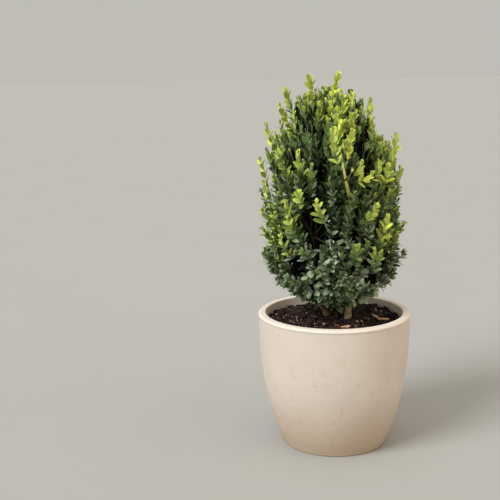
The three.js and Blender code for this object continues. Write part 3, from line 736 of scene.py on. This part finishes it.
def masses():
    """The boughs' controls, and each foliage mass's root and centre: rings round the axis, then one at each stem's tip.

    A bough leaves the nearest stem below its mass and ends a share of the way to the mass's centre.
    """
    stems = stem_controls()
    lines = traced(stems, 400)[1]
    rows = []
    for _, height, count, first in RINGS:
        for k in range(count):
            azimuth = math.radians(first + 360 * k / count)
            z = height + MASS_SWAY * math.sin(2.4 * k + height * 1000)
            centre = crown_points(np.array(z), np.array(azimuth), MASS_INSET * crown_radius(z))
            fork = max(z - (BOUGH_DROP + BOUGH_STEP * ((2 * k) % count)), LOWEST_FORK)
            spots = lines[np.arange(len(stems)), np.abs(lines[:, :, 2] - fork).argmin(axis=1)]
            start = spots[np.hypot(*(spots - centre)[:, :2].T).argmin()]
            end = start + BOUGH_SHARE * (centre - start)
            rows.append([start, start + 0.6 * (end - start) - BOUGH_SAG * UP, end, centre])
    rows, tips = np.array(rows), stems[:, -1]
    return rows[:, :3], np.concatenate([rows[:, 2], tips]), np.concatenate([rows[:, 3], tips + TOP_RISE * UP])


def rise_direction(tip, k):
    """Direction of a shoot's tip: up and outwards, nearly upright high in the crown and flatter towards its foot."""
    height = np.interp(tip[:, 2], [0.38, 0.43, 0.50, 0.62, 0.78, 0.90], [84, 70, 50, 28, 16, 9])
    lean = np.radians(height + 20 * (chance(k, 11) - 0.5))
    out = outward(tip)
    sideways = np.stack([-out[:, 1], out[:, 0], 0 * k], -1) * 0.5 * (chance(k, 12) - 0.5)[:, None]
    return unit(out * np.sin(lean)[:, None] + UP * np.cos(lean)[:, None] + sideways)


def outer_tips(count):
    """Tips of the leafy shoots: even over the crown, some set back or lower at random, and clumped by smooth noise."""
    k = np.arange(count, dtype=float)
    z = even_heights(count)
    ragged = np.interp(z, [0.45, 0.60, 0.80, 0.92], [0.010, 0.028, 0.055, 0.080])  # the most a tip is set back
    azimuth = k * GOLDEN_ANGLE + 0.1 * chance(k, 8)
    outline = crown_points(z, azimuth, 0)
    clump = waves(outline, 0.10, 51)
    spray = waves(outline * [1, 1, 0.35], 0.045, 55, 9)
    kept = (clump > -0.75) & (spray > -0.50) & (chance(k, 5) < np.interp(z, [0.50, 0.62], [0.70, 1.0]))
    inset = np.interp(z, [0.38, 0.42, 0.455, 0.50, 0.56, 0.66, 0.75], [0.018, 0.012, 0.0, 0.006, 0.012, 0.012, 0.004])
    tip = crown_points(z - ragged * chance(k, 10) ** 2, azimuth, inset + 0.6 * ragged * chance(k, 9) ** 2)
    tip[:, :2] *= (1 - 0.12 * np.clip(-clump, 0, 1))[:, None]
    # None hangs over the soil, the upper crown leans to the left, and its shoulders slope down to both sides
    tip[:, 2] = np.maximum(tip[:, 2], 0.380 + 0.03 * chance(k, 7))
    tip[:, 0] -= np.interp(z, [0.50, 0.60, 0.74, 0.82, 0.90], [0, 0.003, 0.004, 0.012, 0.014])
    across = [-0.17, -0.108, -0.085, 0.06, 0.085, 0.105, 0.16]
    shoulder = np.interp(tip[:, 0], across, [0.80, 0.838, 0.95, 0.95, 0.87, 0.815, 0.80])
    tip[:, 2] = np.minimum(tip[:, 2], shoulder - 0.015 * chance(k, 14))
    return tip[kept], k[kept]


def inside(points, balls, depth):
    """Whether points lie in any of the balls (x, y, z, radius), which are stretched along y by one over the depth."""
    away = np.linalg.norm((points[..., None, :] - balls[:, :3]) * [1, depth, 1], axis=-1)
    return (away < balls[:, 3]).any(axis=-1)


def woody_twigs(count):
    """Curves from each mass's root to its centre, and from those to tips under the outline.

    The tips follow the golden angle round the axis and even heights up it, and each belongs to the nearest mass.
    """
    _, roots, centres = masses()
    k = np.arange(count, dtype=float)
    tips = crown_points(even_heights(count), k * GOLDEN_ANGLE, 0.058 + 0.03 * chance(k, 9))
    home = np.linalg.norm(tips[:, None] - centres, axis=-1).argmin(axis=1)
    start = roots[home] + (centres - roots)[home] * (0.6 + 0.5 * chance(k, 1))[:, None]
    bend = start + 0.62 * (tips - start)
    out = np.hypot(tips[:, 0] - start[:, 0], tips[:, 1] - start[:, 1])
    bend[:, 2] = start[:, 2] + 0.4 * (tips[:, 2] - start[:, 2]) - 0.12 * out
    return np.stack([roots, (roots + centres) / 2, centres], axis=1), np.stack([start, bend, tips], axis=1)


def shoot_tips(crown):
    """Tip, direction, leafy length, brightness and key of the shoots that stand out, then of outer and inner ones."""
    outer, outer_key = outer_tips(crown.shoots)
    inner_key = np.arange(crown.inner_shoots, dtype=float) + INNER_KEYS
    inset = 0.060 + 0.05 * chance(inner_key, 9)
    inner = crown_points(even_heights(crown.inner_shoots), inner_key * GOLDEN_ANGLE, inset)
    inner[:, 2] -= np.interp(inner[:, 2], [0.60, 0.93], [0, 0.09])
    lean, leader_length, leader_bright = LEADERS[:, 3:].T
    tip = np.concatenate([LEADERS[:, :3], outer, inner])
    key = np.concatenate([np.arange(len(LEADERS)) + LEADER_KEYS, outer_key, inner_key])
    rise = rise_direction(tip, key)
    rise[: len(LEADERS)] = unit(np.stack([lean, 0.08 * outward(LEADERS[:, :3])[:, 1], 1 + 0 * lean], -1))
    long = np.interp(outer[:, 2], [0.42, 0.60, 0.80], [0.050, 0.085, 0.105]) * (0.8 + 0.5 * chance(outer_key, 15))
    leafy = np.concatenate([leader_length, long, 0.045 + 0.02 * chance(inner_key, 15)])
    bright = np.concatenate([leader_bright, np.zeros(len(outer)), np.full(len(inner), -1.0)])
    return tip, rise, leafy, bright, key


def leafy_shoots(crown):
    """Each shoot's controls, length, leafy length, brightness and key.

    A shoot starts where a twig or the golden stem passes closest to the point that lies its own length behind its
    tip. One that runs through a hollow is left out, unless it is bright.
    """
    tip, rise, leafy, bright, key = shoot_tips(crown)
    forks = [traced(woody_twigs(crown.branchlets)[1], 9, 0.35), traced(GOLDEN_STEM, 30, 0.35)]
    spots, ways = (np.concatenate([fork[i].reshape(-1, 3) for fork in forks]) for i in (1, 2))
    wanted = tip - rise * (leafy + FORK_GAP)[:, None]
    nearest = np.linalg.norm(wanted[:, None] - spots, axis=-1).argmin(axis=1)
    base, way = spots[nearest], ways[nearest]
    length = np.linalg.norm(tip - base, axis=-1)[:, None]
    shoots = np.stack([base, base + 0.3 * length * way, tip - 0.42 * length * rise, tip], axis=1)
    trace = traced(shoots, 10, 0.1)[1]
    kept = (inside(trace, HOLLOWS, HOLLOW_DEPTH).mean(axis=1) < 0.22) | (bright > BRIGHT)
    rows = {"shoots": shoots, "length": length[:, 0], "leafy": leafy, "bright": bright, "key": key}
    return {name: values[kept] for name, values in rows.items()}


# Leaves


def leaf_points(outline, root, way, face, length, width, bend, fold):
    """Closed oval leaves: at each place of the outline a section with two edges, a raised top and a hollow underside.

    The blade curves back by bend times the place squared, and its halves rise from the midrib by fold times the
    half-width.
    """
    root, way, face, length, width, bend, fold = (v[:, None] for v in (root, way, face, length, width, bend, fold))
    side = np.cross(face, way)
    t = outline[:, 0]
    half = width / 2 * outline[:, 1]
    along = length * t * (1 - 0.25 * bend**2 * t * t)
    down = -bend * length * t * t * 0.5
    edge = down + fold * half

    def at(x, y, z):
        """The root plus x along the leaf, y to its side and z out of its face."""
        return root + way * x[..., None] + side * y[..., None] + face * z[..., None]

    top, under = at(along, 0 * half, down + LEAF_RISE), at(along, 0 * half, down - LEAF_RISE)
    rings = np.stack([at(along, half, edge), top, at(along, -half, edge), under], 2)
    end = at(length * (1 - 0.25 * bend**2), 0 * length, -bend * length * 0.5)
    return np.concatenate([root, rings.reshape(len(root), -1, 3), end], axis=1)


def leaf_places(plant, crown):
    """Each leaf's shape and place, and its rank: its shoot's key and brightness, its pair from the tip, its own number.

    Opposite pairs stand in steps back from the shoot's tip, each pair a quarter turn from the last.
    """
    steps = np.concatenate([[0.001, 0.005], 0.005 + np.cumsum(np.full(PAIRS - 2, PAIR_STEP))])
    back = steps * (0.85 + 0.3 * chance(plant["key"], 16))[:, None]
    u = 1 - back / np.maximum(plant["length"], 0.03)[:, None]
    point, way = curves(plant["shoots"], np.clip(u, 0.05, 1))
    there = (back < plant["leafy"][:, None]) & (u > 0.05) & ~inside(point, WINDOWS, WINDOW_DEPTH)
    there &= ~inside(point, HOLLOWS, HOLLOW_DEPTH) | (plant["bright"] > BRIGHT)[:, None]
    shoot, pair = (np.repeat(rows, 2) for rows in np.nonzero(there))
    point, way = point[shoot, pair], way[shoot, pair]
    half = np.tile([0, 1], len(shoot) // 2)
    key, bright = plant["key"][shoot], plant["bright"][shoot]
    leaf = key * 2 * PAIRS + 2 * pair + half
    low = np.interp(point[:, 2], [0.40, 0.74], [1, 0]) + 0.6 * (chance(key, 6) - 0.5)
    low = np.where(bright > BRIGHT, 0, np.clip(low, 0, 1))

    side, other = crosswise(way, way, 0.95)
    turn = math.pi * half + math.pi / 2 * pair + 1.3 * chance(key, 17) + 0.5 * (chance(leaf, 18) - 0.5)
    away = np.cos(turn)[:, None] * side + np.sin(turn)[:, None] * other
    spread = np.interp(pair, [0, 2, 5, 9], [10, 20, 30, 38]) + low * 28 + 24 * (chance(leaf, 19) - 0.5)
    spread = np.radians(spread + 12 * (bright > BRIGHT) * (point[:, 2] < SPREAD_TOP))[:, None]
    direction = unit(np.cos(spread) * way + np.sin(spread) * away)
    stray = np.stack([chance(leaf, 20 + i) for i in range(3)], -1) - 0.5
    flat = low[:, None]
    face = (0.5 + 0.2 * flat) * way + (0.8 - 0.5 * flat) * outward(point) + (0.3 + 0.4 * flat) * UP
    face = face - 0.5 * (1 - flat) * away + (0.8 + 0.7 * flat) * stray
    face = unit(face - (face * direction).sum(-1, keepdims=True) * direction)

    young = np.interp(pair, [0, 1, 2, 3, 5], [0.45, 0.66, 0.86, 0.96, 1.0])
    size = crown.leaf_length * young * (0.82 + 0.36 * chance(leaf, 24)) * (1 + 0.15 * (bright > BRIGHTEST))
    slim = crown.leaf_slim + (crown.leaf_round - crown.leaf_slim) * low + 0.08 * (chance(leaf, 25) - 0.5)
    shape = {
        "root": point,
        "way": direction,
        "face": face,
        "length": size * (1 + 0.17 * low),
        "width": size * (slim + 0.08 * (bright > BRIGHTEST)),
        "bend": 0.10 + 0.35 * chance(leaf, 26),
        "fold": 0.10 + 0.22 * chance(leaf, 27),
    }
    return shape, {"key": key, "pair": pair, "leaf": leaf, "bright": bright}


def leaf_classes(root, key, pair, leaf, bright):
    """Which green each leaf takes: brighter towards a shoot's tip, the crown's top and on shoots that stand out.

    Leaves deep inside and on inner shoots take the shade green, which is painted shade, and some low and full-grown
    ones the sage, lightened in part as painted sheen.
    """
    x, y, z = root.T
    depth, inner, bright = crown_depth(root), bright < 0, np.clip(bright, 0, 1)
    older = 0.11 * pair * (1 - 0.5 * bright * np.interp(z, [0.70, 0.78], [0, 1]))
    glow = np.interp(z, [0.45, 0.60, 0.75, 0.88, 0.94], [0.0, 0.14, 0.30, 0.55, 0.75]) + 0.80 * bright - older
    glow += chance(key, 41) - 0.5 + 0.45 * (chance(leaf, 42) - 0.5)
    # Darker greens towards the crown's foot; and painted shade: the deeper a leaf sits under the outline, the darker
    # its green.
    glow += np.interp(z, [0.42, 0.58], [0.0, 0.34]) - 5 * np.clip(depth - 0.025, 0, 0.1)
    # Painted shade: the darker patches on the front; the lighter ones take fresher greens.
    across, up = (x[:, None] - PATCHES[:, 0]) / PATCHES[:, 2], (z[:, None] - PATCHES[:, 1]) / PATCHES[:, 3]
    patches = (PATCHES[:, 4] * np.exp(-(across**2) - up**2)).sum(axis=1)
    glow += np.where(y < 0, patches, 0) * (1 - 0.45 * bright)
    sides = np.interp(x, [-0.14, -0.07, 0.07, 0.14], [0.22, 0, 0, 0.38])
    glow += sides * np.interp(z, [0.46, 0.56, 0.80, 0.88], [0, 1, 1, 0])
    kind = DEEP + np.digitize(glow, [-0.30, 0.20, 0.66, 1.16])
    # Painted shade: below this depth the darker leaves take the near-black shade green.
    dusk = np.interp(z, [0.68, 0.82], [0.055, 0.030])  # the depth at which shade begins
    kind = np.where((depth > dusk) & (kind < FRESH), SHADE, kind)
    sage = chance(leaf, 43) < np.interp(z, [0.50, 0.78], [0.52, 0.0])
    kind = np.where((kind < FRESH) & (kind > SHADE) & sage, SAGE, kind)
    return np.where(inner, SHADE, kind)


# Light and camera


def studio_world(sky):
    """Light by its direction's height: grey by the floor, a bright band above that, and the sky's strength on top."""
    world = bpy.data.worlds.new("studio")
    world.use_nodes = True
    f = Nodes(world.node_tree)
    height = f.add("SeparateXYZ", Vector=f.add("TexCoord").outputs["Generated"]).outputs["Z"]
    light = f.tree.nodes["Background"]
    light.inputs["Color"].default_value = (1.0, 0.977, 0.90, 1)
    f.put(light.inputs["Strength"], f.ramp(height, (0.07, 0.521), (0.18, 0.74), (0.42, 0.74), (0.70, sky)))
    return world


def photo_camera():
    """A camera at the photograph's place: its axes follow from pitch and yaw, and are then rolled about its view."""
    camera = bpy.data.cameras.new("camera")
    camera.sensor_width = 36
    camera.lens = PHOTO_FOCAL / PHOTO_SIDE * camera.sensor_width
    camera.clip_start, camera.clip_end = 0.05, 200
    pitch, yaw, roll = (math.radians(angle) for angle in (CAMERA_PITCH, CAMERA_YAW, CAMERA_ROLL))
    ahead = Vector((math.sin(yaw) * math.cos(pitch), math.cos(yaw) * math.cos(pitch), -math.sin(pitch)))
    right = ahead.cross(Vector(UP)).normalized()
    up = right.cross(ahead)
    right, up = right * math.cos(roll) + up * math.sin(roll), up * math.cos(roll) - right * math.sin(roll)
    stand = bpy.data.objects.new("camera", camera)
    stand.matrix_world = Matrix.Translation(CAMERA_PLACE) @ Matrix((right, up, -ahead)).transposed().to_4x4()
    return stand


# Operators


class BOXWOOD_OT_planter(bpy.types.Operator):
    """Turn the planter and give it its matte cream finish"""

    bl_idname = "boxwood.planter"
    bl_label = "Planter"

    def execute(self, context):
        planter = context.scene.boxwood_planter
        points, faces = lathe(planter_profile(planter), 160)
        reach, z = np.hypot(points[:, 0], points[:, 1]), points[:, 2]
        # Painted light: the lip's top and the inner wall, which the finish makes paler.
        lip = np.interp(z, planter.height - np.array([0.0085, 0.005]), [0, 1])
        pale = np.maximum(0.55 * lip, reach < side_radius(z, planter) - planter.wall / 2)
        piece = mesh_piece("planter_shell", points, faces, planter_finish(planter), sharp=50, pale=pale)
        on_root(piece, "planter", "planter")
        return {"FINISHED"}


class BOXWOOD_OT_soil(bpy.types.Operator):
    """Fill the planter with potting mix, bark crumbs and wood chips"""

    bl_idname = "boxwood.soil"
    bl_label = "Potting mix"

    def execute(self, context):
        soil, planter = context.scene.boxwood_soil, context.scene.boxwood_planter
        bed = mesh_piece("soil_bed", *soil_bed(soil, planter), soil_finish(soil), sharp=80)
        on_root(bed, "soil", "potting_soil")
        for bit, strew, colour, best in (
            ("bark_crumb", bark_crumbs, soil.bark, 7.5),
            ("wood_chip", wood_chips, soil.wood, 2.0),
        ):
            points, faces, shade = strew(soil, planter)
            finish = crumb_finish(bit, colour, best)
            bits = mesh_piece(bit + "s", points, faces, finish, smooth=False, shade=np.repeat(shade, 8))
            on_root(bits, "soil")
        return {"FINISHED"}


class BOXWOOD_OT_limbs(bpy.types.Operator):
    """Grow the stems and boughs with their bark"""

    bl_idname = "boxwood.limbs"
    bl_label = "Stems and boughs"

    def execute(self, context):
        crown = context.scene.boxwood_crown
        bark = bark_finish("stem_bark", crown.twig)
        t, centres, _ = traced(stem_controls(), 140)
        foot = np.array([row[2] for row in STEMS.values()])[:, None]
        length = np.linalg.norm(np.diff(centres, axis=1), axis=-1).sum(axis=1)[:, None]
        radius = (foot + (STEM_TIP_RADIUS - foot) * t) * (1 + STEM_FLARE * np.exp(-t * length / FLARE_HEIGHT))
        centres[:, 0] -= STEM_SINK * UP
        points, faces = tubes(centres, barked(centres, radius, 28, 0.012), 28)
        # Painted shade: the left and back stems take the darker, redder bark.
        old = np.repeat([0.0, 0.75, 0.9], len(points) // len(STEMS))
        on_root(mesh_piece("stems", points, faces, bark, old=old), "bark", *STEMS)

        names = [f"bough_{name}_{k + 1}" for name, _, count, _ in RINGS for k in range(count)]
        t, centres, _ = traced(masses()[0], 40)
        points, faces = tubes(centres, barked(centres, BOUGH_RADIUS - BOUGH_TAPER * t, 14, 0.008), 14)
        on_root(mesh_piece("boughs", points, faces, bark), "bark", *names)
        return {"FINISHED"}


class BOXWOOD_OT_twigs(bpy.types.Operator):
    """Grow the woody twigs and the young shoots"""

    bl_idname = "boxwood.twigs"
    bl_label = "Twigs and shoots"

    def execute(self, context):
        crown = context.scene.boxwood_crown
        mass_stems, twigs = woody_twigs(crown.branchlets)
        t, centres, _ = traced(np.concatenate([mass_stems, twigs]), 10)
        thick = np.where(np.arange(len(t)) < len(mass_stems), MASS_STEM_RADIUS, TWIG_RADIUS)[:, None]
        # Painted shade: the twigs take the stems' bark at 0.15 of its brightness, as dark as the crown's inside.
        twig_bark = bark_finish("twig_bark", scaled(crown.twig, 0.15))
        on_root(mesh_piece("twigs", *tubes(centres, thick - TWIG_TAPER * t, 7), twig_bark), "bark")

        t, centres, _ = traced(GOLDEN_STEM, 40)
        golden = tubes(centres, GOLDEN_RADIUS - GOLDEN_TAPER * t, 12)
        on_root(mesh_piece("golden_stem", *golden, golden_finish(crown)), "bark")

        sides = 4
        plant = leafy_shoots(crown)
        t, centres, _ = traced(plant["shoots"], 9)
        shoots = tubes(centres, SHOOT_RADIUS - SHOOT_TAPER * t, sides)
        share = np.concatenate([[0], np.repeat(t[0], sides), [1]])
        young = (share * (1 + 0.12 * np.maximum(plant["bright"], 0))[:, None]).ravel()
        on_root(mesh_piece("young_shoots", *shoots, shoot_finish(crown), tip=young), "bark")
        return {"FINISHED"}


class BOXWOOD_OT_leaves(bpy.types.Operator):
    """Set the leaves on their shoots in pairs and deal out their greens"""

    bl_idname = "boxwood.leaves"
    bl_label = "Leaves"

    def execute(self, context):
        crown = context.scene.boxwood_crown
        shape, rank = leaf_places(leafy_shoots(crown), crown)
        classes = leaf_classes(shape["root"], **rank)
        nodes = [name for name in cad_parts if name.startswith("foliage_")]
        for c, (green, (rough, gloss)) in enumerate(GREENS.items()):
            outline = SHADE_LEAF if c == SHADE else LEAF
            sections = len(outline)
            one = ring_faces(sections, 4)
            corners = 2 + 4 * sections
            rib = np.array([1.0] + [0, 1, 0, 0.6] * sections + [0.5])
            under = np.array([0.0] + [0, 0, 0, 1] * sections + [0])
            finish = leaf_finish("leaves_" + green, getattr(crown, green), rough, gloss)
            chosen = np.flatnonzero(classes == c)
            parts = max(math.ceil(len(chosen) * len(one) / PIECE_LIMIT), 1)
            for part, rows in enumerate(np.array_split(chosen, parts), 1):
                count = len(rows)
                if not count:
                    continue
                points = leaf_points(outline, *(values[rows] for values in shape.values())).reshape(-1, 3)
                faces = repeated(one, corners, count)
                shade = np.repeat(chance(rank["leaf"][rows], 45), corners)
                own = {"shade": shade, "rib": np.tile(rib, count), "under": np.tile(under, count)}
                piece = mesh_piece(f"leaves_{green}_{part}", points, faces, finish, sharp=70, **own)
                on_root(piece, "foliage", *(nodes if (c, part) == (DEEP, 1) else ()))
        return {"FINISHED"}


class BOXWOOD_OT_stage(bpy.types.Operator):
    """Lay the pale floor, hang the lamps and stand the camera at the photograph's angle"""

    bl_idname = "boxwood.stage"
    bl_label = "Stage"

    def execute(self, context):
        scene, stage = context.scene, context.scene.boxwood_stage
        f = Finish("pale_floor", Roughness=0.9, Specular_IOR_Level=0.1)
        f.colour(f.mix(f.ramp(f.noise(1.5), (0.3, 0), (0.7, 1)), stage.floor, scaled(stage.floor, 1.03)))
        reach, corners = 60, 96
        ring = np.stack([*circle(corners), np.zeros(corners)], -1) * reach
        floor = mesh_piece("floor", ring, np.arange(corners)[None], f.material, smooth=False)
        scene.world = studio_world(stage.sky)
        lamps = (  # name, where its light comes from, spread in degrees, strength, colour
            ("key", (-0.72, -0.68, 0.80), 28, stage.key, (0.90, 0.97, 1.0)),
            ("top", (0.10, 0.05, 1.0), 100, stage.top, (1.0, 0.98, 0.93)),
            ("fill", (1.0, -0.45, 0.30), 60, stage.fill, (1.0, 0.79, 0.55)),
        )
        for name, way, spread, strength, colour in lamps:
            lamp = bpy.data.lights.new(name, "SUN")
            lamp.angle, lamp.energy, lamp.color = math.radians(spread), strength, colour
            holder = bpy.data.objects.new(name, lamp)
            holder.rotation_euler = Vector(way).to_track_quat("Z", "Y").to_euler()
            scene.collection.objects.link(holder)
        scene.camera = photo_camera()
        scene.collection.objects.link(scene.camera)
        scene.view_settings.view_transform = "Standard"
        return {"FINISHED"}


class BOXWOOD_PT_panel(bpy.types.Panel):
    """Lists the steps that build the plant"""

    bl_idname = "BOXWOOD_PT_panel"
    bl_label = "Potted boxwood"
    bl_space_type = "VIEW_3D"
    bl_region_type = "UI"
    bl_category = "Boxwood"

    def draw(self, context):
        for key, (group, operators) in STEPS.items():
            box = self.layout.box()
            for name in group.__annotations__:
                box.prop(getattr(context.scene, key), name)
            for operator in operators:
                box.operator(operator.bl_idname)


STEPS = {
    "boxwood_stage": (StageSettings, (BOXWOOD_OT_stage,)),
    "boxwood_planter": (PlanterSettings, (BOXWOOD_OT_planter,)),
    "boxwood_soil": (SoilSettings, (BOXWOOD_OT_soil,)),
    "boxwood_crown": (CrownSettings, (BOXWOOD_OT_limbs, BOXWOOD_OT_twigs, BOXWOOD_OT_leaves)),
}
OPERATORS = [operator for _, operators in STEPS.values() for operator in operators]


def register():
    for key, (group, _) in STEPS.items():
        bpy.utils.register_class(group)
        setattr(bpy.types.Scene, key, PointerProperty(type=group))
    for operator in (*OPERATORS, BOXWOOD_PT_panel):
        bpy.utils.register_class(operator)


def unregister():
    for operator in (BOXWOOD_PT_panel, *reversed(OPERATORS)):
        bpy.utils.unregister_class(operator)
    for key, (group, _) in STEPS.items():
        delattr(bpy.types.Scene, key)
        bpy.utils.unregister_class(group)


def main():
    """Registers the classes and calls the operators in order."""
    register()
    for operator in OPERATORS:
        group, name = operator.bl_idname.split(".")
        getattr(getattr(bpy.ops, group), name)()


if __name__ == "__main__":
    main()
